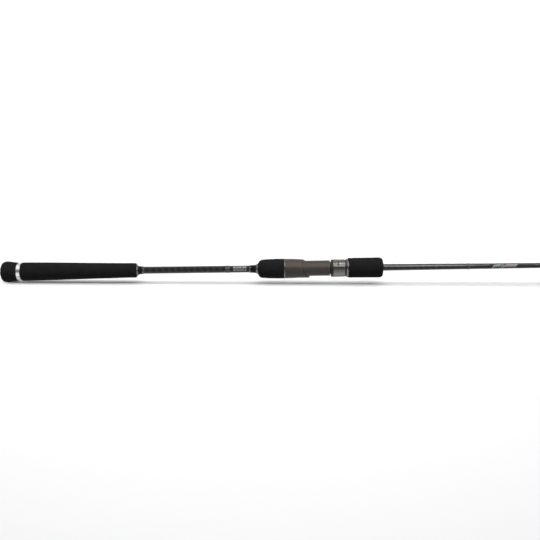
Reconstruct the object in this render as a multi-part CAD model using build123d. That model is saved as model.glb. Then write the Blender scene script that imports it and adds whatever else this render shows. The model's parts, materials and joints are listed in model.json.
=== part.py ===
from build123d import *
import math
import os

# A two-piece spinning rod. Lengths are in millimetres. The rod is modelled with its axis on X,
# the butt at x = 0 and the tip at +X, with the reel side and the line guides towards -Z. place()
# then moves every piece into the row's frame, whose origin is the centre of the reel-foot bed.
# A "station" is a distance from the butt, and an outline is a list of (station, radius) points.

# ---- driving dimensions ----
ROD_LENGTH = 1980.0

# butt and rear grip
CAP_END = 23.6
CAP_NECK_RADIUS = 13.2
BUTT_RING_END = 29.2
BUTT_RING_RADIUS = 12.0
REAR_GRIP_END = 192.7
REAR_RING_RADIUS = 7.7
REAR_RING_FRONT_RADIUS = 6.6
CHECK_CONE_START = 194.9
CHECK_CONE_END = 200.9
CHECK_CONE_RADIUS = 6.4
CHECK_RING_END = 202.7
CHECK_RING_RADIUS = 5.45

# seat end of the handle
SEAT_CHECK_RING_START = 352.2
SEAT_CHECK_CONE_START = 354.0
SEAT_CHECK_RING_RADIUS = 5.35
SEAT_CHECK_CONE_RADIUS = 5.9
MID_RING_START = 361.6
MID_RING_RADIUS = 7.2
MID_RING_REAR_RADIUS = 6.0
MID_GRIP_START = 364.4
MID_GRIP_END = 401.3
SEAT_START = 402.9
GRIP_RADIUS_AT_SEAT = 14.0

# reel seat
SEAT_RADIUS = 13.85
BELLY_RADIUS = 12.55       # the fixed hood's belly is a circle centred a little under the axis
BELLY_DROP = 1.6
WAIST_RADIUS = 10.9
WAIST_START = 418.0
WAIST_END = 466.4
BED_DEPTH = 6.8           # the reel foot's bed lies this far under the rod's axis
BED_START = 438.8
BED_STATION = (BED_START + WAIST_END) / 2
POCKET_FLOOR = 6.6        # the hoods' pocket floors stand this far under the axis
FIXED_POCKET_START = 424.5
LIP_TOP = 427.2
LIP_BOTTOM = 438.0
FIXED_POCKET_RADIUS = 10.4
FIXED_POCKET_DROP = 1.8   # the pocket's centre lies this far under the axis
SEAT_BORE_RADIUS = 5.6
ARBOR_STARTS = {"rear": 405.0, "middle": 446.0, "front": 522.0}
ARBOR_LENGTH = 9.0

# threaded barrel
BARREL_END = 533.0
THREAD_RADIUS = 8.5
THREAD_DEPTH = 0.9
THREAD_PITCH = 2.0
THREAD_ROOT_WIDTH = 1.5
THREAD_CREST_WIDTH = 0.6
THREAD_START = 470.0
THREAD_TURNS = 30
COLLAR_RADIUS = 8.3        # the plain collar that the thread runs out of
COLLAR_END = 471.2
KEYWAY_WIDTH = 3.2
KEYWAY_FLOOR = 7.2

# sliding hood
HOOD_START = 468.0
FLANGE_END = 470.9
BAND_END = 487.2
HOOD_END = 489.0
HOOD_BORE_RADIUS = 8.56
FLANGE_INSET = 0.2
BAND_RADIUS = 12.2
BAND_THICKNESS = 0.5
BAND_SLOT_STATION = 477.4
BAND_SLOT = (1.6, 6.0)     # along and across the band's top
BULGE_DROP = 2.3          # the underside bulge is a circle centred this far under the axis
BULGE_RADIUS = 11.55
HOOD_POCKET_DEPTH = 13.0
HOOD_POCKET_RADIUS = 9.9
SKIRT_RADIUS = 9.3         # the hood's skirt ends in a bead that the nut holds
BEAD_RADIUS = 9.9
BEAD_START = 492.7
BEAD_END = 494.1

# lock nut and foregrip
NUT_START = 489.3
NUT_RING_END = 492.3
NUT_RING_RADIUS = 13.15
NUT_RING_REAR_RADIUS = 12.45
NUT_SHOULDER_RADIUS = 11.2
NUT_SHOULDER_END = 495.6
NUT_SLEEVE_RADIUS = 9.9
NUT_BORE_RADIUS = 8.62
NUT_THREAD_START = 498.0
NUT_THREAD_TURNS = 5
NUT_THREAD_ROOT_WIDTH = 1.05
NUT_THREAD_CREST_WIDTH = 0.3
NUT_CLEARANCE = 0.15
NUT_SLEEVE_END = 539.0
FOREGRIP_END = 541.4
FOREGRIP_MOUTH_RADIUS = 5.3

# ferrule
FERRULE_START = 925.0
FERRULE_END = 985.0
FERRULE_WRAP_LENGTH = 18.0
FERRULE_GAP = 0.02
FERRULE_WALL = 0.85
BUTT_WALL = 0.95
CHECK_BORE = 5.03          # rings and checks are reamed to this radius and glued on the blank

# outside of the blank as (station, radius); the tip section's own outside starts at the ferrule
BUTT_TAPER = [(3.0, 5.01), (205.0, 4.99), (320.0, 4.93), (545.0, 4.75), (600.0, 4.43),
              (690.0, 3.93), (760.0, 3.66), (FERRULE_END, 2.95)]
TIP_TAPER = [(1010.0, 3.50), (1100.0, 2.95), (1300.0, 2.15), (1600.0, 1.45), (ROD_LENGTH - 4.0, 0.85)]

# line guides: station, inside radius of the ring, height of its centre under the rod's axis, feet
GUIDES = [
    (1090.0, 9.0, 23.0, 2),
    (1240.0, 5.6, 16.5, 2),
    (1368.0, 3.6, 12.5, 1),
    (1484.0, 3.0, 10.5, 1),
    (1590.0, 2.6, 9.0, 1),
    (1688.0, 2.3, 8.0, 1),
    (1780.0, 2.1, 7.2, 1),
    (1880.0, 2.1, 6.6, 1),
]
TIP_TOP_RING = 2.0         # inside radius
TIP_TOP_RING_WALL = 0.65
TIP_TOP_DROP = 4.4
TIP_TOP_LENGTH = 9.0
TIP_TOP_WRAP_LENGTH = 6.0
HOOP_WIDTH = 0.8          # between a guide hoop's inside and outside radius
SHEET = 0.9               # thickness of a guide's stamped frame
WRAP_THICKNESS = 0.35
REAR_TRIM = (318.0, 324.6)
FRONT_TRIM = (661.3, 664.9)
GLUE_LINE = 0.02


def place(shape):
    """Move a piece from stations along the rod's axis into the row's frame."""
    return Pos(-BED_STATION, 0, BED_DEPTH) * shape


def save(shape, name):
    shape = place(shape)
    shape.label = name
    export_step(shape, f"parts/{name}.step")


def taper_radius(taper, station):
    """Outside radius of a blank at a station, from its taper list."""
    for (s0, r0), (s1, r1) in zip(taper, taper[1:]):
        if station <= s1:
            return r0 + (r1 - r0) * (station - s0) / (s1 - s0)
    return taper[-1][1]


def butt_radius(station):
    return taper_radius(BUTT_TAPER, station)


def sleeve_end(station):
    """Outside of the tip section where it sleeves over the butt section."""
    return station, butt_radius(station) + FERRULE_GAP + FERRULE_WALL


def tip_radius(station):
    return taper_radius([sleeve_end(FERRULE_START), sleeve_end(FERRULE_END)] + TIP_TAPER, station)


def turned(*outline):
    """A solid turned about the rod's axis from straight (station, radius) corners."""
    return revolve(Plane.XZ * make_face(Polyline(*outline, close=True)), Axis.X)


def turned_spline(bore, *outline, **ends):
    """A solid turned from a smooth outer outline, closed down to a bore radius."""
    first, last = outline[0], outline[-1]
    closing = [last, (last[0], bore), (first[0], bore), first]
    corners = [p for i, p in enumerate(closing) if i == 0 or p != closing[i - 1]]
    return revolve(Plane.XZ * make_face([Spline(*outline, **ends), Polyline(*corners)]), Axis.X)


def bar(start, end, radius, drop=0.0):
    """A solid round bar along the rod, with its axis a little under the rod's axis."""
    return Pos((start + end) / 2, 0, -drop) * Rot(0, 90, 0) * Cylinder(radius, end - start)


def tube(start, end, outer, inner):
    return bar(start, end, outer) - bar(start - 1, end + 1, inner)


def below(depth, start, end):
    """Everything deeper than a given depth under the rod's axis, between two stations."""
    size = 60.0
    return Pos((start + end) / 2, 0, -depth - size / 2) * Box(end - start, size, size)


def turned_arcs(start, end, outer, inner, radius):
    """A tube turned from a section whose two outer corners are arcs."""
    section = make_face(Polyline((start, inner), (start, outer), (end, outer), (end, inner), close=True))
    corners = [v for v in section.vertices() if v.Y > (outer + inner) / 2]
    return revolve(Plane.XZ * fillet(corners, radius), Axis.X)


# ---- handle ----
def butt_blank():
    bore = [(station, radius - BUTT_WALL) for station, radius in reversed(BUTT_TAPER)]
    return turned(*BUTT_TAPER, *bore)


def butt_cap():
    cap = turned_spline(
        0.0, (0.0, 0.0), (0.5, 6.0), (2.2, 11.4), (5.0, 14.1), (8.4, 14.85), (13.6, 14.4),
        (19.0, 13.6), (CAP_END - 0.7, CAP_NECK_RADIUS), tangents=[(0, 1), (1, -0.1)])
    neck = turned((CAP_END - 0.7, 0), (CAP_END - 0.7, CAP_NECK_RADIUS), (CAP_END, CAP_NECK_RADIUS - 0.7),
                  (CAP_END, 0))
    return cap + neck - bar(BUTT_TAPER[0][0], CAP_END + 1, BUTT_TAPER[0][1])


def butt_ring():
    return turned_arcs(CAP_END, BUTT_RING_END, BUTT_RING_RADIUS, BUTT_TAPER[0][1], 0.5)


def rear_grip():
    return turned_spline(
        BUTT_TAPER[0][1], (BUTT_RING_END, 11.9), (29.8, 12.5), (31.2, 12.95), (34.0, 13.12), (46.0, 13.0),
        (63.0, 12.7), (90.0, 12.2), (123.0, 11.45), (157.0, 10.82), (185.5, 10.4), (189.8, 10.28),
        (191.7, 9.8), (192.4, 9.1), (REAR_GRIP_END, 8.3))


def rear_grip_ring():
    return turned((REAR_GRIP_END, CHECK_BORE), (REAR_GRIP_END, REAR_RING_RADIUS),
                  (REAR_GRIP_END + 1.0, REAR_RING_RADIUS), (CHECK_CONE_START, REAR_RING_FRONT_RADIUS),
                  (CHECK_CONE_START, CHECK_BORE))


def winding_check(start, end, start_radius, end_radius):
    """A hollow-curved cone that closes the step from a ring down to the blank."""
    waist = 0.7 * min(start_radius, end_radius) + 0.3 * max(start_radius, end_radius)
    return turned_spline(CHECK_BORE, (start, start_radius), ((start + end) / 2, waist), (end, end_radius))


def mid_grip_ring():
    return turned((MID_RING_START, CHECK_BORE), (MID_RING_START, MID_RING_REAR_RADIUS),
                  (MID_GRIP_START - 0.9, MID_RING_RADIUS), (MID_GRIP_START, MID_RING_RADIUS),
                  (MID_GRIP_START, CHECK_BORE))


def mid_grip():
    return turned_spline(
        CHECK_BORE, (MID_GRIP_START, 7.3), (365.3, 8.9), (367.3, 11.6), (370.1, 12.85), (374.2, 13.28),
        (382.0, 13.65), (391.0, 13.9), (MID_GRIP_END, GRIP_RADIUS_AT_SEAT))


def blank_wrap(start, end, radius_at):
    """A band of thread on a blank, with a sloped shoulder at each end."""
    slope = 1.0
    bore = radius_at(start) + GLUE_LINE
    return turned((start, bore), (start, bore + 0.05), (start + slope, bore + WRAP_THICKNESS),
                  (end - slope, radius_at(end) + WRAP_THICKNESS), (end, radius_at(end) + 0.05), (end, bore))


# ---- reel seat ----
def hood_lip_cutter():
    """The space in front of the fixed hood's lip, which sweeps forward towards its underside."""
    reach = 20.0
    lip = Spline((LIP_TOP, reach), (LIP_TOP, 8.5), (430.3, 3.0), (434.4, -3.0), (436.9, -8.0),
                 (LIP_BOTTOM, -reach))
    front = Polyline((LIP_BOTTOM, -reach), (470.0, -reach), (470.0, reach), (LIP_TOP, reach))
    return extrude(Plane.XZ * make_face([lip, front]), reach, both=True)


def helix_ridge(start, turns, root, crest, root_width, crest_width):
    """A ridge of trapezoid section wound right-handed round the rod's axis."""
    path = Edge.make_helix(THREAD_PITCH, THREAD_PITCH * turns, root, (start, 0, 0), (1, 0, 0))
    origin = path.position_at(0)
    outward = Vector(0, origin.Y, origin.Z)
    across = Plane(origin, x_dir=outward, z_dir=path.tangent_at(0))
    bury = 0.1 if crest < root else -0.1
    section = Polyline((bury, -root_width / 2), (crest - root, -crest_width / 2),
                       (crest - root, crest_width / 2), (bury, root_width / 2), close=True)
    return sweep(across * make_face(section), path, is_frenet=True)


def fixed_hood():
    end = LIP_BOTTOM + 1
    swell = turned_spline(
        0.0, (SEAT_START, SEAT_RADIUS), (410.0, 13.75), (416.0, 13.55), (424.0, 13.05), (430.0, 12.6),
        (end, 11.95))
    belly = bar(SEAT_START, end, BELLY_RADIUS, BELLY_DROP)
    belly = belly & turned((SEAT_START, 0), (SEAT_START, SEAT_RADIUS), (end, 14.55), (end, 0))
    pocket = bar(FIXED_POCKET_START, end, FIXED_POCKET_RADIUS, FIXED_POCKET_DROP)
    return swell + belly - hood_lip_cutter() - (pocket & below(POCKET_FLOOR, FIXED_POCKET_START, end))


def threaded_barrel():
    root = THREAD_RADIUS - THREAD_DEPTH
    ridge = helix_ridge(THREAD_START, THREAD_TURNS, root, THREAD_RADIUS, THREAD_ROOT_WIDTH,
                        THREAD_CREST_WIDTH)
    barrel = bar(WAIST_END - 1, BARREL_END, root) + bar(WAIST_END - 1, COLLAR_END, COLLAR_RADIUS) + ridge
    length = BARREL_END - WAIST_END
    keyway = Pos(WAIST_END + length / 2, 0, KEYWAY_FLOOR + 5) * Box(length, KEYWAY_WIDTH, 10)
    return barrel - keyway - below(POCKET_FLOOR, WAIST_END, BARREL_END + 1)


def reel_seat():
    waist = bar(WAIST_START, WAIST_END, WAIST_RADIUS) - below(POCKET_FLOOR, WAIST_START, BED_START)
    waist = waist - below(BED_DEPTH, BED_START, WAIST_END)
    body = fixed_hood() + waist + threaded_barrel()
    return body - bar(SEAT_START - 1, BARREL_END + 1, SEAT_BORE_RADIUS)


def seat_arbor(start):
    """A ring that centres the seat's bore on the blank."""
    return tube(start, start + ARBOR_LENGTH, SEAT_BORE_RADIUS, butt_radius(start) + GLUE_LINE)


# ---- sliding hood ----
def hood_outline(inset, start, end):
    """The sliding hood's outer form, made smaller by an inset: a round tube with a deeper underside."""
    return bar(start, end, BAND_RADIUS - inset) + bar(start, end, BULGE_RADIUS - inset, BULGE_DROP)


def hood_band():
    """The polished band, with a small slot through its top for the locking tab."""
    band = hood_outline(0.0, FLANGE_END, BAND_END)
    band = band - hood_outline(BAND_THICKNESS, FLANGE_END - 1, BAND_END + 1)
    return band - Pos(BAND_SLOT_STATION, 0, BAND_RADIUS) * Box(*BAND_SLOT, 3.0)


def hood_body():
    body = hood_outline(BAND_THICKNESS, HOOD_START, HOOD_END)
    body = body + hood_outline(FLANGE_INSET, HOOD_START, FLANGE_END)
    body = body + bar(HOOD_END - 1, BEAD_END, SKIRT_RADIUS) + bar(BEAD_START, BEAD_END, BEAD_RADIUS)
    body = body - bar(HOOD_START - 1, BEAD_END + 1, HOOD_BORE_RADIUS)
    pocket_end = HOOD_START + HOOD_POCKET_DEPTH
    pocket = bar(HOOD_START - 1, pocket_end, HOOD_POCKET_RADIUS, BULGE_DROP)
    body = body - (pocket & below(POCKET_FLOOR, HOOD_START - 1, pocket_end))
    key_bottom = KEYWAY_FLOOR + 0.1
    key = Pos((HOOD_START + HOOD_END) / 2, 0, (key_bottom + HOOD_BORE_RADIUS + 0.2) / 2)
    return body + key * Box(HOOD_END - HOOD_START, KEYWAY_WIDTH - 0.2, HOOD_BORE_RADIUS + 0.2 - key_bottom)


# ---- lock nut ----
def nut_sleeve():
    """The threaded insert of the foregrip, with a groove that holds the sliding hood's bead."""
    sleeve = bar(NUT_START, NUT_SHOULDER_END, NUT_SHOULDER_RADIUS)
    sleeve = sleeve + bar(NUT_SHOULDER_END, NUT_SLEEVE_END, NUT_SLEEVE_RADIUS)
    sleeve = sleeve - bar(NUT_START - 1, NUT_SLEEVE_END + 1, NUT_BORE_RADIUS)
    sleeve = sleeve - bar(NUT_START - 1, BEAD_START, SKIRT_RADIUS + NUT_CLEARANCE)
    sleeve = sleeve - bar(BEAD_START - NUT_CLEARANCE, BEAD_END + NUT_CLEARANCE, BEAD_RADIUS + NUT_CLEARANCE)
    whole_turns = round((NUT_THREAD_START - THREAD_START) / THREAD_PITCH)
    in_mesh = THREAD_START + (whole_turns + 0.5) * THREAD_PITCH
    crest = THREAD_RADIUS - THREAD_DEPTH + NUT_CLEARANCE
    return sleeve + helix_ridge(in_mesh, NUT_THREAD_TURNS, NUT_BORE_RADIUS, crest, NUT_THREAD_ROOT_WIDTH,
                                NUT_THREAD_CREST_WIDTH)


def nut_ring():
    return turned((NUT_START, NUT_SHOULDER_RADIUS), (NUT_START, NUT_RING_REAR_RADIUS),
                  (NUT_RING_END - 1.0, NUT_RING_RADIUS), (NUT_RING_END, NUT_RING_RADIUS),
                  (NUT_RING_END, NUT_SHOULDER_RADIUS))


def foregrip():
    """The EVA grip that turns the nut. Its front wall closes in towards the blank."""
    grip = turned_spline(
        FOREGRIP_MOUTH_RADIUS, (NUT_RING_END, 13.35), (492.9, 13.75), (494.2, 13.93), (497.0, 13.97),
        (508.0, 14.0), (520.0, 14.05), (529.0, 14.2), (534.5, 14.28), (537.4, 14.1), (539.8, 13.0),
        (541.0, 11.2), (FOREGRIP_END, 9.2))
    grip = grip - bar(NUT_RING_END - 1, NUT_SHOULDER_END, NUT_SHOULDER_RADIUS)
    return grip - bar(NUT_RING_END - 1, NUT_SLEEVE_END, NUT_SLEEVE_RADIUS)


# ---- tip section ----
def tip_blank():
    """The hollow tip section: a sleeve over the butt section's end, then a long taper."""
    bore = [(FERRULE_START, butt_radius(FERRULE_START) + FERRULE_GAP),
            (FERRULE_END + 1, butt_radius(FERRULE_END) + FERRULE_GAP), (FERRULE_END + 12, 2.1),
            (1300.0, 1.5), (1600.0, 0.9), (TIP_TAPER[-1][0], 0.35)]
    outside = [sleeve_end(FERRULE_START), sleeve_end(FERRULE_END)] + TIP_TAPER
    return turned(*outside, *reversed(bore))


def tip_core(start, end):
    """The outside of the tip section between two stations, used to hollow what sits on it."""
    return turned((start, 0), (start, tip_radius(start)), (end, tip_radius(end)), (end, 0))


def hoop(station, drop, inner, outer, width):
    """A hoop that faces along the rod, centred under its axis."""
    return bar(station - width / 2, station + width / 2, outer, drop) - \
        bar(station - width, station + width, inner, drop)


def guide_ring(station, drop, inner, outer):
    """A guide's ceramic ring, with its inner rims well rounded for the line."""
    width = 1.5 * (outer - inner) + 0.5
    section = make_face(Polyline((-width / 2, inner), (-width / 2, outer), (width / 2, outer),
                                 (width / 2, inner), close=True))
    inner_corners = [v for v in section.vertices() if v.Y < (outer + inner) / 2]
    rounded = fillet(inner_corners, 0.45 * (outer - inner))
    return Pos(station, 0, -drop) * revolve(Plane.XZ * rounded, Axis.X)


def guide_foot(near, toe, floor, width):
    """A flat foot under the blank that thins towards its toe."""
    side = Polyline((near, floor), (near, floor - SHEET), (toe, floor - 0.3), (toe, floor), close=True)
    return extrude(Plane.XZ * make_face(side), width / 2, both=True)


def guide_leg(station, bend, floor, drop, outer, foot_width):
    """A leg from a foot's bend to both sides of the hoop, with a window in a tall one."""
    lean = SHEET if bend > station else -SHEET
    side = Polyline((bend, floor), (bend + lean, floor), (bend + lean, floor - SHEET),
                    (station + lean / 2, -drop), (station - lean / 2, -drop), (bend, floor - SHEET),
                    close=True)
    half = foot_width / 2
    front = Polyline((-half, floor), (half, floor), (half, floor - SHEET), (outer, -drop + 0.35 * outer),
                     (outer, -drop), (-outer, -drop), (-outer, -drop + 0.35 * outer), (-half, floor - SHEET),
                     close=True)
    leg = extrude(Plane.XZ * make_face(side), outer, both=True)
    leg = leg & Pos(station, 0, 0) * extrude(Plane.YZ * make_face(front), 2 * drop, both=True)
    top, bottom = floor - SHEET - 1.0, -drop + outer + 0.2
    if top - bottom > 3.0:
        spread = 0.6 * (top - bottom)
        window = make_face(Polyline((-0.5, top), (0.5, top), (spread, bottom), (-spread, bottom), close=True))
        leg = leg - Pos(station, 0, 0) * extrude(Plane.YZ * window, 2 * drop, both=True)
    return leg


class Guide:
    """One line guide: where its ring, legs, feet and thread wraps stand."""

    def __init__(self, station, inner, drop, feet):
        self.station = station
        self.drop = drop
        self.inner = inner
        self.hoop_inner = inner + 0.5 + 0.07 * inner
        self.hoop_outer = self.hoop_inner + HOOP_WIDTH
        self.sides = (1, -1) if feet == 2 else (1,)
        self.foot_width = 2.8 if feet == 2 else 2.0
        self.foot_length = 7.0 + 0.35 * drop
        self.reach = 0.5 * drop

    def foot_span(self, side):
        """Stations of a foot's bend and toe, and the depth of its underside."""
        bend = self.station + side * self.reach
        toe = bend + side * self.foot_length
        return bend, toe, -max(tip_radius(bend), tip_radius(toe)) - 0.02

    def frame(self):
        frame = hoop(self.station, self.drop, self.hoop_inner, self.hoop_outer, SHEET)
        opening = bar(self.station - self.drop, self.station + self.drop, self.hoop_inner, self.drop)
        for side in self.sides:
            bend, toe, floor = self.foot_span(side)
            leg = guide_leg(self.station, bend, floor, self.drop, self.hoop_outer, self.foot_width)
            frame = frame + guide_foot(bend, toe, floor, self.foot_width) + (leg - opening)
        return frame

    def ring(self):
        return guide_ring(self.station, self.drop, self.inner, self.hoop_inner)

    def wraps(self, frame):
        """Thread wound over the blank and each foot, from just past the toe to near the bend."""
        bands = []
        for side in self.sides:
            bend, toe, floor = self.foot_span(side)
            start, end = sorted((bend + side * 1.6, toe + side * 3.0))
            radius = tip_radius(start)
            lobe_drop = max(radius - 0.6, 0.4)
            half = self.foot_width / 2
            lobe = math.hypot(half, -floor + SHEET - lobe_drop) + 0.15
            band = bar(start, end, radius + WRAP_THICKNESS) + bar(start, end, lobe, lobe_drop)
            bands.append(band - tip_core(start - 1, end + 1) - frame)
        return Compound(children=bands)


def tip_top_frame():
    """A cap over the rod's tip that carries the last ring on a hoop, with a strut to each side."""
    end = TIP_TAPER[-1][0]
    start = end - TIP_TOP_LENGTH
    station = ROD_LENGTH - SHEET / 2
    outer = TIP_TOP_RING + TIP_TOP_RING_WALL + HOOP_WIDTH
    opening = bar(start, ROD_LENGTH + 1, TIP_TOP_RING + TIP_TOP_RING_WALL, TIP_TOP_DROP)
    cap = bar(start, ROD_LENGTH - SHEET / 2, tip_radius(start) + 0.35)
    strut = guide_leg(station, start + 3.0, -0.4, TIP_TOP_DROP, outer, 1.6)
    rim = hoop(station, TIP_TOP_DROP, outer - HOOP_WIDTH, outer, SHEET)
    return cap + rim + strut - opening - tip_core(start - 1, end + 0.01)


def tip_top_ring():
    return guide_ring(ROD_LENGTH - SHEET / 2, TIP_TOP_DROP, TIP_TOP_RING,
                      TIP_TOP_RING + TIP_TOP_RING_WALL)


def tip_top_wrap():
    end = TIP_TAPER[-1][0] - TIP_TOP_LENGTH
    return blank_wrap(end - TIP_TOP_WRAP_LENGTH, end, tip_radius)


def save_guides():
    for number, (station, inner, drop, feet) in enumerate(GUIDES, start=1):
        guide = Guide(station, inner, drop, feet)
        frame = guide.frame()
        save(frame, f"guide_{number}_frame")
        save(guide.ring(), f"guide_{number}_ring")
        save(guide.wraps(frame), f"guide_{number}_wrap")


PIECES = {
    "butt_blank": butt_blank(),
    "butt_cap": butt_cap(),
    "butt_ring": butt_ring(),
    "rear_grip": rear_grip(),
    "rear_grip_ring": rear_grip_ring(),
    "rear_winding_check": winding_check(CHECK_CONE_START, CHECK_CONE_END, CHECK_CONE_RADIUS,
                                        CHECK_RING_RADIUS),
    "rear_check_ring": turned_arcs(CHECK_CONE_END, CHECK_RING_END, CHECK_RING_RADIUS, CHECK_BORE, 0.3),
    "rear_trim_wrap": blank_wrap(*REAR_TRIM, butt_radius),
    "seat_check_ring": turned_arcs(SEAT_CHECK_RING_START, SEAT_CHECK_CONE_START, SEAT_CHECK_RING_RADIUS,
                                   CHECK_BORE, 0.3),
    "seat_winding_check": winding_check(SEAT_CHECK_CONE_START, MID_RING_START, SEAT_CHECK_RING_RADIUS,
                                        SEAT_CHECK_CONE_RADIUS),
    "mid_grip_ring": mid_grip_ring(),
    "mid_grip": mid_grip(),
    "seat_ring": tube(MID_GRIP_END, SEAT_START, GRIP_RADIUS_AT_SEAT, CHECK_BORE),
    "reel_seat": reel_seat(),
    "front_trim_wrap": blank_wrap(*FRONT_TRIM, butt_radius),
    "hood_body": hood_body(),
    "hood_band": hood_band(),
    "nut_sleeve": nut_sleeve(),
    "nut_ring": nut_ring(),
    "foregrip": foregrip(),
    "tip_blank": tip_blank(),
    "ferrule_wrap": blank_wrap(FERRULE_START, FERRULE_START + FERRULE_WRAP_LENGTH, tip_radius),
    "tip_top_frame": tip_top_frame(),
    "tip_top_ring": tip_top_ring(),
    "tip_top_wrap": tip_top_wrap(),
}

for arbor, start in ARBOR_STARTS.items():
    PIECES[f"seat_arbor_{arbor}"] = seat_arbor(start)

os.makedirs("parts", exist_ok=True)
for name, shape in PIECES.items():
    save(shape, name)
save_guides()
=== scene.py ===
import json
import math

import bmesh
import bpy
from mathutils import Matrix, Vector


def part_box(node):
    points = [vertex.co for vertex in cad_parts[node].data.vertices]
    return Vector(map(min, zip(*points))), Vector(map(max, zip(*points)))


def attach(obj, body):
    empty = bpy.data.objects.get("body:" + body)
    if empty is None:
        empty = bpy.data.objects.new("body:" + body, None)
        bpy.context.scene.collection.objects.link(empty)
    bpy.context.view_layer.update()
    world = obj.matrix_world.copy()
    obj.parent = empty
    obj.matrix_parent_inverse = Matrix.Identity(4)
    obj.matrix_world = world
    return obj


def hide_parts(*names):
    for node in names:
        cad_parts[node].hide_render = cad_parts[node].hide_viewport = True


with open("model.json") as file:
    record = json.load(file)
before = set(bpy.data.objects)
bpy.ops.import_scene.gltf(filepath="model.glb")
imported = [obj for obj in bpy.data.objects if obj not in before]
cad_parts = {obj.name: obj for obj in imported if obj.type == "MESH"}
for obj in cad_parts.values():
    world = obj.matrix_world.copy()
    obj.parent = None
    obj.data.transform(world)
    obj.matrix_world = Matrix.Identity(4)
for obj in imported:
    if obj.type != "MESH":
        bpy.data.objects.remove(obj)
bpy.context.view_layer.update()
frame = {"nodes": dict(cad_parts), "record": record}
NODES = frame["nodes"]

MM = 0.001
butt_low, butt_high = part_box("butt_cap")
BUTT_X = butt_low[0]
AXIS_Z = (butt_low[2] + butt_high[2]) / 2


# ---- camera ----
VIEW_WIDTH = 767 * MM            # how much of the rod the picture's width takes in
VIEW_CENTRE = 381.5 * MM         # from the butt to the picture's middle
VIEW_BELOW_AXIS = 1.85 * MM      # the picture's middle lies this far under the rod
ELEVATION = math.radians(62)     # how high over the floor the camera looks from
HALF_FIELD = math.radians(19.5)
ROLL = math.radians(0.69)
SENSOR = 36
NEAREST, FARTHEST = 0.01, 100    # the camera's clipping distances


def at(station):
    """The x of a point so many millimetres from the butt."""
    return BUTT_X + station * MM


def make_camera():
    data = bpy.data.cameras.new("camera")
    data.sensor_width = SENSOR
    data.lens = SENSOR / 2 / math.tan(HALF_FIELD)
    data.clip_start = NEAREST
    data.clip_end = FARTHEST
    camera = bpy.data.objects.new("camera", data)
    back = Vector((0, -math.cos(ELEVATION), math.sin(ELEVATION)))
    up = Vector((0, math.sin(ELEVATION), math.cos(ELEVATION)))
    aim = Vector((BUTT_X + VIEW_CENTRE, 0, AXIS_Z)) - up * VIEW_BELOW_AXIS
    camera.location = aim + back * (VIEW_WIDTH / 2 / math.tan(HALF_FIELD))
    turn = (-back).to_track_quat("-Z", "Y").to_matrix() @ Matrix.Rotation(-ROLL, 3, "Z")
    camera.rotation_euler = turn.to_euler()
    bpy.context.collection.objects.link(camera)
    bpy.context.scene.camera = camera


make_camera()


# ---- node graphs ----
class Nodes:
    """Short ways to add nodes to a node tree."""

    def __init__(self, tree):
        self.tree = tree

    def node(self, kind, inputs=None, **settings):
        made = self.tree.nodes.new(kind)
        for key, value in settings.items():
            setattr(made, key, value)
        for key, value in (inputs or {}).items():
            self.feed(made.inputs[key], value)
        return made

    def feed(self, socket, value):
        """Put a number, a colour or another node's output into a socket."""
        if isinstance(value, bpy.types.NodeSocket):
            self.tree.links.new(value, socket)
        else:
            socket.default_value = value

    def maths(self, operation, *values):
        made = self.node("ShaderNodeMath", operation=operation)
        for socket, value in zip(made.inputs, values):
            self.feed(socket, value)
        return made.outputs[0]

    def mix(self, factor, first, second):
        made = self.node("ShaderNodeMix", data_type="RGBA")
        self.feed(made.inputs[0], factor)
        self.feed(made.inputs[6], first)
        self.feed(made.inputs[7], second)
        return made.outputs[2]

    def ramp(self, factor, *stops):
        """A colour ramp over (position, grey or colour) stops."""
        made = self.node("ShaderNodeValToRGB")
        self.feed(made.inputs[0], factor)
        elements = made.color_ramp.elements
        while len(elements) < len(stops):
            elements.new(0.5)
        for element, (position, value) in zip(elements, stops):
            element.position = position
            element.color = (*value, 1) if isinstance(value, tuple) else (value, value, value, 1)
        return made.outputs[0]


class Graph(Nodes):
    """A Principled material, the textures that its looks are made of, and its main sockets."""

    def __init__(self, name, **sockets):
        self.material = bpy.data.materials.new(name)
        self.material.use_nodes = True
        super().__init__(self.material.node_tree)
        self.shader = self.tree.nodes["Principled BSDF"]
        for socket, value in sockets.items():
            self.shader.inputs[socket.replace("_", " ")].default_value = value

    def place(self, scale=(1, 1, 1)):
        """A point on the piece, in metres from the rod's own axis, stretched by a scale."""
        point = self.node("ShaderNodeTexCoord").outputs["Object"]
        moved = self.node("ShaderNodeVectorMath", operation="SUBTRACT")
        self.feed(moved.inputs[0], point)
        moved.inputs[1].default_value = (0, 0, AXIS_Z)
        scaled = self.node("ShaderNodeVectorMath", operation="MULTIPLY")
        self.feed(scaled.inputs[0], moved.outputs[0])
        scaled.inputs[1].default_value = scale
        return scaled.outputs[0]

    def around(self):
        """Distance along the rod in metres, and the turn round its axis from -0.5 to 0.5."""
        parts = self.node("ShaderNodeSeparateXYZ", {0: self.place()})
        angle = self.maths("ARCTAN2", parts.outputs["Y"], parts.outputs["Z"])
        return parts.outputs["X"], self.maths("DIVIDE", angle, 2 * math.pi)

    def noise(self, vector, scale, detail=2.0, roughness=0.5):
        made = self.node("ShaderNodeTexNoise", {"Vector": vector, "Scale": scale, "Detail": detail,
                                                "Roughness": roughness})
        return made.outputs["Fac"]

    def bump(self, height, strength, distance):
        made = self.node("ShaderNodeBump", {"Height": height, "Strength": strength, "Distance": distance})
        return made.outputs["Normal"]

    def colour(self, value):
        self.feed(self.shader.inputs["Base Color"], value)

    def rough(self, value):
        self.feed(self.shader.inputs["Roughness"], value)

    def normal(self, value):
        self.feed(self.shader.inputs["Normal"], value)


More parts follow.
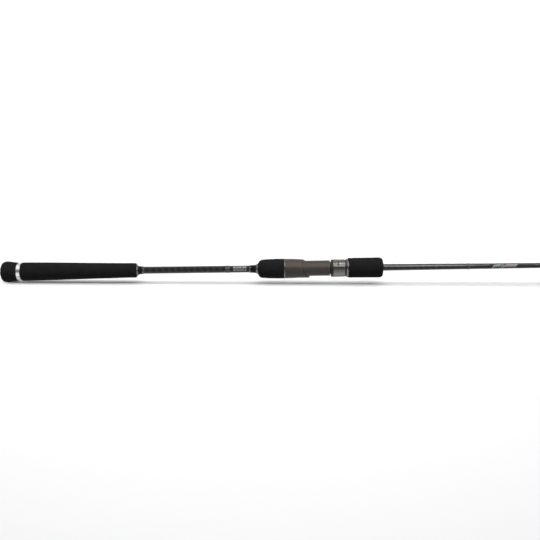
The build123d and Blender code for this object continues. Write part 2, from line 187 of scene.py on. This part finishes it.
# ---- materials ----
FOAM_CELL = 0.9 * MM
FOAM_GRAIN = 0.45 * MM
FOAM_BLOTCH = 7 * MM
FOAM_RELIEF = 0.12 * MM
TURNING_MARK = 0.08 * MM
METAL_RELIEF = 0.01 * MM
SPECK = 0.3 * MM
CLOTH = 0.5 * MM
TAPE_PITCH = 9 * MM
TAPE_RELIEF = 0.06 * MM
STRAND = 0.3 * MM
STRAND_RELIEF = 0.05 * MM
PAINT_FLAKE = 0.12 * MM
PAINT_BLOTCH = 9 * MM
CREASE = 3 * MM                  # how far the shade painted beside a crease in the reel seat reaches
PLASTIC_GRAIN = 0.25 * MM
FINE_RELIEF = 0.02 * MM
INK_WEAR = 0.35 * MM
BLACK_ZONE = (324, 362)          # the blank is black under the label, between these stations
BLACK_BEYOND = 664               # and from this station on


def eva_foam():
    """Fine closed-cell foam, sanded matte, with a faint mottling."""
    g = Graph("eva_foam", Specular_IOR_Level=0.1)
    place = g.place()
    cells = g.node("ShaderNodeTexVoronoi", {"Vector": place, "Scale": 1 / FOAM_CELL}).outputs["Distance"]
    grain = g.noise(place, 1 / FOAM_GRAIN, 3.0, 0.7)
    blotch = g.noise(place, 1 / FOAM_BLOTCH, 2.0)
    tone = g.maths("ADD", g.maths("MULTIPLY", grain, 0.7), g.maths("MULTIPLY", blotch, 0.3))
    g.colour(g.ramp(tone, (0.3, (0.0065, 0.0065, 0.0068)), (0.7, (0.0148, 0.0148, 0.0152))))
    g.rough(g.ramp(grain, (0.0, 0.8), (1.0, 1.0)))
    height = g.maths("ADD", g.maths("MULTIPLY", cells, 0.5), grain)
    g.normal(g.bump(height, 0.5, FOAM_RELIEF))
    return g.material


def polished_metal(name, colour, roughness, metallic=1.0):
    """Turned and polished metal, with fine marks that run round the rod."""
    g = Graph(name, Metallic=metallic)
    marks = g.noise(g.place((1, 0.02, 0.02)), 1 / TURNING_MARK, 2.0)
    g.colour(g.ramp(marks, (0.3, tuple(0.9 * c for c in colour)), (0.7, colour)))
    g.rough(g.ramp(marks, (0.0, roughness * 0.8), (1.0, roughness * 1.3)))
    g.normal(g.bump(marks, 0.05, METAL_RELIEF))
    return g.material


def gloss_black(name="gloss_black", value=0.005):
    """Hard black gloss with faint specks."""
    g = Graph(name, Coat_Weight=0.12, Coat_Roughness=0.05, Specular_IOR_Level=0.15)
    speck = g.noise(g.place(), 1 / SPECK, 3.0)
    g.colour(g.ramp(speck, (0.2, value * 0.8), (0.8, value * 1.2)))
    g.rough(g.ramp(speck, (0.0, 0.28), (1.0, 0.4)))
    return g.material


def graphite():
    """Graphite cloth under clear gloss, wound with a spiral tape, and painted black by the label
    and beyond the front trim wrap."""
    g = Graph("graphite_blank", Coat_Weight=1.0, Coat_Roughness=0.08, Specular_IOR_Level=0.4)
    along, turn = g.around()
    spiral = g.maths("FRACT", g.maths("ADD", g.maths("DIVIDE", along, TAPE_PITCH), turn))
    band = g.ramp(spiral, (0.0, 0.0), (0.07, 1.0), (0.38, 0.8), (0.45, 0.0))
    cloth = g.noise(g.place((1, 0.35, 0.35)), 1 / CLOTH, 2.0, 0.6)
    fleck = g.ramp(cloth, (0.42, 0.0), (0.6, 1.0))
    dark = g.mix(fleck, (0.002, 0.002, 0.002, 1), (0.005, 0.005, 0.005, 1))
    light = g.mix(fleck, (0.008, 0.008, 0.008, 1), (0.034, 0.031, 0.029, 1))
    label = g.maths("MULTIPLY", g.maths("GREATER_THAN", along, at(BLACK_ZONE[0])),
                    g.maths("LESS_THAN", along, at(BLACK_ZONE[1])))
    beyond = g.maths("GREATER_THAN", along, at(BLACK_BEYOND))
    painted = g.maths("MAXIMUM", label, beyond)
    g.colour(g.mix(painted, g.mix(band, dark, light), (0.006, 0.006, 0.0065, 1)))
    g.rough(g.mix(painted, g.ramp(fleck, (0.0, 0.34), (1.0, 0.22)), (0.3, 0.3, 0.3, 1)))
    taped = g.maths("MULTIPLY", g.maths("SUBTRACT", 1.0, painted), band)
    g.normal(g.bump(taped, 0.25, TAPE_RELIEF))
    return g.material


def wound_thread(name, dark, light):
    """Fine winding thread under epoxy."""
    g = Graph(name, Coat_Weight=1.0, Coat_Roughness=0.06)
    along, turn = g.around()
    lay = g.maths("FRACT", g.maths("ADD", g.maths("DIVIDE", along, STRAND), turn))
    strand = g.maths("PINGPONG", lay, 0.5)
    g.colour(g.ramp(strand, (0.0, dark), (0.4, light)))
    g.rough(g.ramp(strand, (0.0, 0.5), (0.5, 0.36)))
    g.normal(g.bump(strand, 0.2, STRAND_RELIEF))
    return g.material


def seat_paint():
    """Warm grey metallic paint with a soft clear coat, with shade painted dark into the creases."""
    g = Graph("reel_seat", Metallic=0.3, Coat_Weight=0.12, Coat_Roughness=0.2)
    flake = g.noise(g.place(), 1 / PAINT_FLAKE, 2.0)
    broad = g.noise(g.place(), 1 / PAINT_BLOTCH, 2.0)
    tone = g.maths("ADD", g.maths("MULTIPLY", flake, 0.8), g.maths("MULTIPLY", broad, 0.2))
    paint = g.ramp(tone, (0.3, (0.046, 0.038, 0.033)), (0.7, (0.078, 0.066, 0.058)))
    # painted shade: where ambient occlusion finds a crease, the paint's colour turns a dark brown-black
    openness = g.node("ShaderNodeAmbientOcclusion", {"Distance": CREASE}, samples=8, only_local=True)
    unshaded = g.ramp(openness.outputs["AO"], (0.45, 0.0), (0.95, 1.0))
    g.colour(g.mix(unshaded, (0.014, 0.011, 0.01, 1), paint))
    g.rough(g.ramp(flake, (0.0, 0.38), (1.0, 0.52)))
    g.normal(g.bump(flake, 0.05, FINE_RELIEF))
    return g.material


def moulded_plastic(name, value, roughness):
    """Moulded plastic with a fine grain."""
    g = Graph(name)
    grain = g.noise(g.place(), 1 / PLASTIC_GRAIN, 3.0)
    g.colour(g.ramp(grain, (0.3, value * 0.85), (0.7, value * 1.15)))
    g.rough(g.ramp(grain, (0.0, roughness * 0.9), (1.0, roughness * 1.1)))
    g.normal(g.bump(grain, 0.15, FINE_RELIEF))
    return g.material


def dark_plate():
    """Stamped guide frames in dark plated steel."""
    g = Graph("guide_frame", Metallic=0.9)
    grain = g.noise(g.place(), 1 / SPECK, 2.0)
    g.colour(g.ramp(grain, (0.3, 0.07), (0.7, 0.1)))
    g.rough(g.ramp(grain, (0.0, 0.2), (1.0, 0.3)))
    return g.material


def ink(name, colour):
    """Printing under the clear coat, a little uneven."""
    g = Graph(name, Coat_Weight=0.6, Coat_Roughness=0.1)
    wear = g.noise(g.place(), 1 / INK_WEAR, 3.0, 0.7)
    g.colour(g.ramp(wear, (0.35, tuple(0.55 * c for c in colour)), (0.6, colour)))
    g.rough(g.ramp(wear, (0.0, 0.35), (1.0, 0.5)))
    return g.material


EVA = eva_foam()
SILVER = polished_metal("trim_ring", (0.3, 0.3, 0.3), 0.18)
SATIN = polished_metal("butt_ring", (0.97, 0.97, 0.97), 0.1, 0.9)
STEEL = polished_metal("hood_band", (0.33, 0.32, 0.3), 0.16)
BLACK = gloss_black()
BLANK = graphite()
TRIM_THREAD = wound_thread("trim_wrap", 0.012, 0.05)
DARK_THREAD = wound_thread("guide_wrap", 0.008, 0.02)
SEAT = seat_paint()
HOOD = moulded_plastic("hood_plastic", 0.014, 0.4)
ARBOR = moulded_plastic("arbor", 0.25, 0.8)
FRAME_METAL = dark_plate()
CERAMIC = gloss_black("guide_ring", 0.03)
LABEL_INK = ink("label_ink", (0.32, 0.32, 0.32))
WHITE_INK = ink("white_ink", (0.42, 0.42, 0.42))
RED_INK = ink("red_ink", (0.5, 0.03, 0.04))

SLOT_LOOKS = {
    "eva_foam": EVA,
    "trim_ring": SILVER,
    "graphite_blank": BLANK,
    "winding_check": BLACK,
    "trim_wrap": TRIM_THREAD,
    "guide_wrap": DARK_THREAD,
    "hood_band": STEEL,
    "reel_seat": SEAT,
    "hood_plastic": HOOD,
    "arbor": ARBOR,
    "guide_frame": FRAME_METAL,
    "guide_ring": CERAMIC,
}
NODE_SLOTS = {s["node"]: s["material_slot"] for s in frame["record"]["subparts"]}
BODY_OF = {n: body for body, members in frame["record"]["behaviour"]["bodies"].items() for n in members}
for node, shown in NODES.items():
    for holder in shown.material_slots:
        holder.material = SLOT_LOOKS[NODE_SLOTS[node]]


# ---- pieces that stand for CAD nodes with finer edges ----
ONE_RING = 0.01 * MM             # points closer than this along the rod belong to one ring
INSIDE_STEP = 0.3 * MM           # a ring this far inside both its neighbours is in the bore
SHARP = math.radians(28)         # corners that turn by more than this are rounded
CORNER_POINTS = 5
TURNED_SEGMENTS = 112
WOUND_SEGMENTS = 72
WELD = 1e-6
SHORTEST = 1e-7
RIDGE = 0.05 * MM                # how far each turn of thread stands up
RIDGE_POINTS = 4                 # points along one turn of thread


def outline_of(node):
    """The outside of a turned CAD node as (x, radius) points, and the radius of its bore."""
    rings = []
    points = ((v.co.x, math.hypot(v.co.y, v.co.z - AXIS_Z)) for v in NODES[node].data.vertices)
    for x, radius in sorted(points):
        if rings and x - rings[-1][0] < ONE_RING:
            rings[-1][1] = max(rings[-1][1], radius)
            rings[-1][2] = min(rings[-1][2], radius)
        else:
            rings.append([x, radius, radius])
    bore_start, bore_end = rings[0][2], rings[-1][2]
    outer = [(x, highest) for x, highest, _ in rings]
    steps_inside = True
    while steps_inside:
        steps_inside = [here for before, here, after in zip(outer, outer[1:], outer[2:])
                        if here[1] < min(before[1], after[1]) - INSIDE_STEP]
        outer = [point for point in outer if point not in steps_inside]
    return outer, bore_start, bore_end


def rounded(points, size):
    """A closed outline with each sharp corner replaced by a short curve."""
    smooth = []
    for i, here in enumerate(points):
        before, after = Vector(points[i - 1]), Vector(points[(i + 1) % len(points)])
        here = Vector(here)
        back, on = before - here, after - here
        if back.length < SHORTEST or on.length < SHORTEST:
            continue
        if math.pi - back.angle(on) < SHARP:
            smooth.append(here)
            continue
        start = here + back.normalized() * min(size, 0.45 * back.length)
        end = here + on.normalized() * min(size, 0.45 * on.length)
        for step in range(CORNER_POINTS):
            t = step / (CORNER_POINTS - 1)
            smooth.append(start * (1 - t) ** 2 + here * 2 * t * (1 - t) + end * t ** 2)
    return smooth


def piece(name, mesh, material, node=None, body=None):
    """Show a mesh as a named piece that rides on a body and may stand for a CAD node."""
    mesh.materials.clear()
    mesh.materials.append(material)
    for polygon in mesh.polygons:
        polygon.use_smooth = True
        polygon.material_index = 0
    shown = bpy.data.objects.new(name, mesh)
    bpy.context.collection.objects.link(shown)
    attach(shown, body or BODY_OF[node])
    if node:
        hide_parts(node)
    return shown


def turned_mesh(name, outline, segments=TURNED_SEGMENTS):
    """A mesh turned about the rod's axis from a closed (x, radius) outline."""
    shape = bmesh.new()
    rings = []
    for k in range(segments):
        angle = 2 * math.pi * k / segments
        c, s = math.cos(angle), math.sin(angle)
        rings.append([shape.verts.new((x, r * s, AXIS_Z + r * c)) for x, r in outline])
    for k in range(segments):
        here, there = rings[k], rings[(k + 1) % segments]
        for i in range(len(outline)):
            j = (i + 1) % len(outline)
            shape.faces.new((here[i], here[j], there[j], there[i]))
    bmesh.ops.remove_doubles(shape, verts=shape.verts, dist=WELD)
    bmesh.ops.recalc_face_normals(shape, faces=shape.faces)
    mesh = bpy.data.meshes.new(name)
    shape.to_mesh(mesh)
    shape.free()
    return mesh


def turned_piece(node, material, corner=0.25 * MM):
    """A turned node again, with its corners rounded."""
    outer, bore_start, bore_end = outline_of(node)
    closing = [(outer[-1][0], bore_end), (outer[0][0], bore_start)]
    mesh = turned_mesh(node + "_turned", rounded(outer + closing, corner))
    return piece(node + "_turned", mesh, material, node)


def wound_piece(node, material):
    """A turned wrap again, with the ridge of each turn of thread on its outside."""
    outer, bore_start, bore_end = outline_of(node)
    first, last = outer[0][0], outer[-1][0]
    ridged = []
    turns = round((last - first) / STRAND)
    for k in range(turns * RIDGE_POINTS + 1):
        x = first + (last - first) * k / (turns * RIDGE_POINTS)
        for (x0, r0), (x1, r1) in zip(outer, outer[1:]):
            if x0 <= x <= x1:
                radius = r0 + (r1 - r0) * (x - x0) / max(x1 - x0, SHORTEST)
        trough = 0.5 + 0.5 * math.cos(2 * math.pi * k / RIDGE_POINTS)
        ridged.append((x, radius - RIDGE * trough))
    closing = [(last, bore_end), (first, bore_start)]
    mesh = turned_mesh(node + "_wound", ridged + closing, WOUND_SEGMENTS)
    return piece(node + "_wound", mesh, material, node)


def softened(node, material, voxel, passes=4):
    """A CAD node again, with its edges eased all over."""
    source = NODES[node].data.copy()
    welded = bmesh.new()
    welded.from_mesh(source)
    bmesh.ops.remove_doubles(welded, verts=welded.verts, dist=WELD)
    welded.to_mesh(source)
    welded.free()
    worker = bpy.data.objects.new("worker", source)
    bpy.context.collection.objects.link(worker)
    remesh = worker.modifiers.new("remesh", "REMESH")
    remesh.mode = "VOXEL"
    remesh.voxel_size = voxel
    smooth = worker.modifiers.new("smooth", "SMOOTH")
    smooth.factor = 0.5
    smooth.iterations = passes
    ready = worker.evaluated_get(bpy.context.evaluated_depsgraph_get())
    mesh = bpy.data.meshes.new_from_object(ready)
    mesh.name = node + "_eased"
    bpy.data.objects.remove(worker)
    return piece(node + "_eased", mesh, material, node)


for node in ("rear_grip", "mid_grip", "foregrip"):
    turned_piece(node, EVA, 0.6 * MM)
for node in ("rear_grip_ring", "rear_check_ring", "seat_check_ring", "mid_grip_ring", "seat_ring",
             "nut_ring"):
    turned_piece(node, SILVER, 0.3 * MM)
turned_piece("butt_ring", SATIN, 0.4 * MM)
for node in ("rear_winding_check", "seat_winding_check"):
    turned_piece(node, BLACK, 0.2 * MM)
for node in ("rear_trim_wrap", "front_trim_wrap"):
    wound_piece(node, TRIM_THREAD)
for node in ("ferrule_wrap", "tip_top_wrap"):
    wound_piece(node, DARK_THREAD)
softened("reel_seat", SEAT, 0.42 * MM, 2)
softened("hood_body", HOOD, 0.3 * MM)
softened("tip_top_frame", FRAME_METAL, 0.15 * MM, 2)
for number in range(1, 9):
    softened(f"guide_{number}_frame", FRAME_METAL, 0.2 * MM, 3)
    softened(f"guide_{number}_wrap", DARK_THREAD, 0.2 * MM, 5)


# ---- printing on the blank ----
INK_LIFT = 0.03 * MM             # how far the printing stands off the blank
INK_STRIPS = 10                  # strips across each mark, to follow the blank's curve
LABEL_WIDTHS = (2.6, 1.4, 2.0, 2.9, 1.2, 2.3, 1.7)
LABEL_START, LABEL_END = 329.5, 348.8
LABEL_GAP = 0.7
LABEL_SLANT = 0.3
# the graphic's stripes, in the same form as the marks that printed() takes
STRIPES = [(695.2, 697.4, -42, 26, 4.2), (699.6, 701.2, -30, 40, 3.6), (702.6, 705.4, -20, 34, 3.4),
           (706.6, 708.0, -36, 36, 4.4), (709.6, 712.4, -34, 8, 2.4)]
HATCH_START, HATCH_PITCH, HATCH_WIDTH, HATCH_COUNT = 713.2, 2.1, 1.3, 8


def blank_radius(x):
    """Outside radius of the butt blank at an x, from its CAD rings."""
    return max(r for r in (r0 + (r1 - r0) * (x - x0) / (x1 - x0)
                           for (x0, r0), (x1, r1) in zip(BLANK_OUTLINE, BLANK_OUTLINE[1:]) if x0 <= x <= x1))


def printed(name, bars, material):
    """Marks that lie on the blank: (start, end, lowest, highest, slant) with stations in mm, heights
    on the side that faces the camera as angles in degrees, and a slant in mm."""
    shape = bmesh.new()
    for start, end, low, high, slant in bars:
        edges = []
        for k in range(INK_STRIPS + 1):
            t = k / INK_STRIPS
            angle = ELEVATION + math.radians(low + (high - low) * t)
            pair = []
            for station in (start + slant * t, end + slant * t):
                r = blank_radius(at(station)) + INK_LIFT
                point = (at(station), -r * math.cos(angle), AXIS_Z + r * math.sin(angle))
                pair.append(shape.verts.new(point))
            edges.append(pair)
        for (a, b), (d, c) in zip(edges, edges[1:]):
            shape.faces.new((a, b, c, d))
    mesh = bpy.data.meshes.new(name)
    shape.to_mesh(mesh)
    shape.free()
    return piece(name, mesh, material, body="butt_section")


BLANK_OUTLINE = outline_of("butt_blank")[0]
label = []
for low, high, shift in ((10, 48, 0), (-36, -4, 3)):
    station = LABEL_START
    for k in range(len(LABEL_WIDTHS)):
        width = LABEL_WIDTHS[(k + shift) % len(LABEL_WIDTHS)]
        label.append((station, min(station + width, LABEL_END), low, high, LABEL_SLANT))
        station += width + LABEL_GAP
printed("label_marks", label, LABEL_INK)
printed("label_end_ring", [(352.5, 353.6, -175, 175, 0)], SILVER)

hatch = []
for k in range(HATCH_COUNT):
    station = HATCH_START + HATCH_PITCH * k
    hatch.append((station, station + HATCH_WIDTH, -22, 36, 3.2))
printed("graphic_marks", STRIPES + hatch, WHITE_INK)
printed("graphic_accent", [(716.5, 729.0, -52, -34, 1.5)], RED_INK)


# ---- floor and light ----
FLOOR_REACH = 20.0
FLOOR_SEEN = 0.92                # how white the floor looks
FLOOR_THROWN = 0.5               # how much of its light it throws on the rod
SHADOW_GRIPS = 2.4 * MM          # the shadow bar's radius along the grips, the blank and the ends
SHADOW_BLANK = 1.15 * MM
SHADOW_FINE = 1.0 * MM
SHADOW_TIP = 0.6 * MM
SHADOW_SEGMENTS = 16
POINT = 0.0001 * MM
CARD_DISTANCE = 1.7
AMBIENT = 0.38
# the room in reflections: angle up from the camera's side over the top, and brightness
ROOM = ((0, 0.5), (35, 0.3), (55, 0.12), (78, 0.12), (92, 0.35), (130, 0.42), (180, 0.4))


def make_floor():
    """A pale floor through the butt cap's and the first guide's lowest points, which throws back
    less light on the rod's underside than it shows the camera. It is clear from below."""
    first_guide_low, first_guide_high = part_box("guide_1_frame")
    guide_x = (first_guide_low[0] + first_guide_high[0]) / 2
    slope = (first_guide_low[2] - butt_low[2]) / (guide_x - BUTT_X)
    mesh = bpy.data.meshes.new("floor")
    corners = []
    for side, end in ((-1, -1), (1, -1), (1, 1), (-1, 1)):
        x = side * FLOOR_REACH
        corners.append((x, end * FLOOR_REACH, butt_low[2] + slope * (x - BUTT_X)))
    mesh.from_pydata(corners, [], [(0, 1, 2, 3)])
    floor = bpy.data.objects.new("floor", mesh)
    g = Graph("floor", Roughness=0.9, Specular_IOR_Level=0.0)
    seen = g.node("ShaderNodeLightPath").outputs["Is Camera Ray"]
    g.colour(g.mix(seen, (*[FLOOR_THROWN] * 3, 1), (*[FLOOR_SEEN] * 3, 1)))
    under = g.node("ShaderNodeNewGeometry").outputs["Backfacing"]
    g.feed(g.shader.inputs["Alpha"], g.maths("SUBTRACT", 1.0, under))
    mesh.materials.append(g.material)
    bpy.context.collection.objects.link(floor)


def make_shadow_line():
    """The only thing that stops the key light: a slim bar along the rod's axis, out of the camera's
    sight, because the shadow on the floor is a line much thinner than the rod."""
    line = [(3, SHADOW_FINE), (12, SHADOW_GRIPS), (190, SHADOW_GRIPS), (204, SHADOW_BLANK),
            (350, SHADOW_BLANK), (372, SHADOW_GRIPS), (536, SHADOW_GRIPS), (546, SHADOW_BLANK),
            (1000, SHADOW_FINE), (1980, SHADOW_TIP)]
    outline = [(at(station), radius) for station, radius in line]
    outline += [(at(line[-1][0]), POINT), (at(line[0][0]), POINT)]
    bar = bpy.data.objects.new("shadow_line", turned_mesh("shadow_line", outline, SHADOW_SEGMENTS))
    bar.data.materials.append(BLACK)
    for kind in ("camera", "diffuse", "glossy", "transmission", "volume_scatter"):
        setattr(bar, "visible_" + kind, False)
    group = bpy.data.collections.new("key_blockers")
    group.objects.link(bar)
    bpy.context.collection.objects.link(bar)
    return group


def area_light(name, centre, aim, width, depth, power):
    """A rectangular light that faces a point and is out of the camera's sight."""
    data = bpy.data.lights.new(name, "AREA")
    data.shape = "RECTANGLE"
    data.size, data.size_y = width, depth
    data.energy = power
    light = bpy.data.objects.new(name, data)
    light.location = centre
    light.rotation_euler = (Vector(aim) - Vector(centre)).to_track_quat("-Z", "Y").to_euler()
    light.visible_camera = False
    bpy.context.collection.objects.link(light)
    return light


def reflected_card(name, x, angle, width, depth, power):
    """A card seen only in glossy pieces: its angle goes up from the camera's side over the top."""
    up = math.radians(angle)
    foot = middle + Vector((x, 0, 0))
    centre = foot + Vector((0, -math.cos(up), math.sin(up))) * CARD_DISTANCE
    card = area_light(name, centre, foot, width, depth, power)
    card.visible_diffuse = False


def make_world():
    """Even soft light, which glossy pieces see instead as the room of ROOM."""
    world = bpy.data.worlds.new("studio")
    bpy.context.scene.world = world
    world.use_nodes = True
    nodes = Nodes(world.node_tree)
    parts = nodes.node("ShaderNodeSeparateXYZ", {0: nodes.node("ShaderNodeTexCoord").outputs["Generated"]})
    towards_camera = nodes.maths("MULTIPLY", parts.outputs["Y"], -1)
    angle = nodes.maths("ARCTAN2", parts.outputs["Z"], towards_camera)
    share = nodes.maths("DIVIDE", angle, math.pi)
    room = nodes.ramp(share, *((degrees / 180, value) for degrees, value in ROOM))
    in_gloss = nodes.node("ShaderNodeLightPath").outputs["Is Glossy Ray"]
    colour = nodes.mix(in_gloss, (*[AMBIENT] * 3, 1), room)
    nodes.feed(nodes.tree.nodes["Background"].inputs["Color"], colour)


make_floor()
make_world()
middle = Vector((BUTT_X + VIEW_CENTRE, 0, AXIS_Z))
key = area_light("key", middle + Vector((0.0, 0.79, 1.4)), middle, 1.4, 0.32, 31)
key.visible_glossy = False
key.light_linking.blocker_collection = make_shadow_line()
card_place, card_aim = middle + Vector((1.15, 0.62, 1.5)), middle + Vector((0.4, 0, 0))
card = area_light("card", card_place, card_aim, 2.2, 0.8, 17)
card.visible_diffuse = False
# name, place along the rod from the middle, angle, width, depth and power
reflected_card("blank_card", 0.6, 93, 0.36, 0.9, 4)
reflected_card("band_card", 0.24, 96, 0.36, 1.0, 0.7)
reflected_card("ring_card_high", -0.92, 129, 0.4, 2.0, 1.4)
reflected_card("ring_card_low", -0.92, 25, 0.4, 1.55, 1.0)
bpy.context.scene.view_settings.view_transform = "Standard"
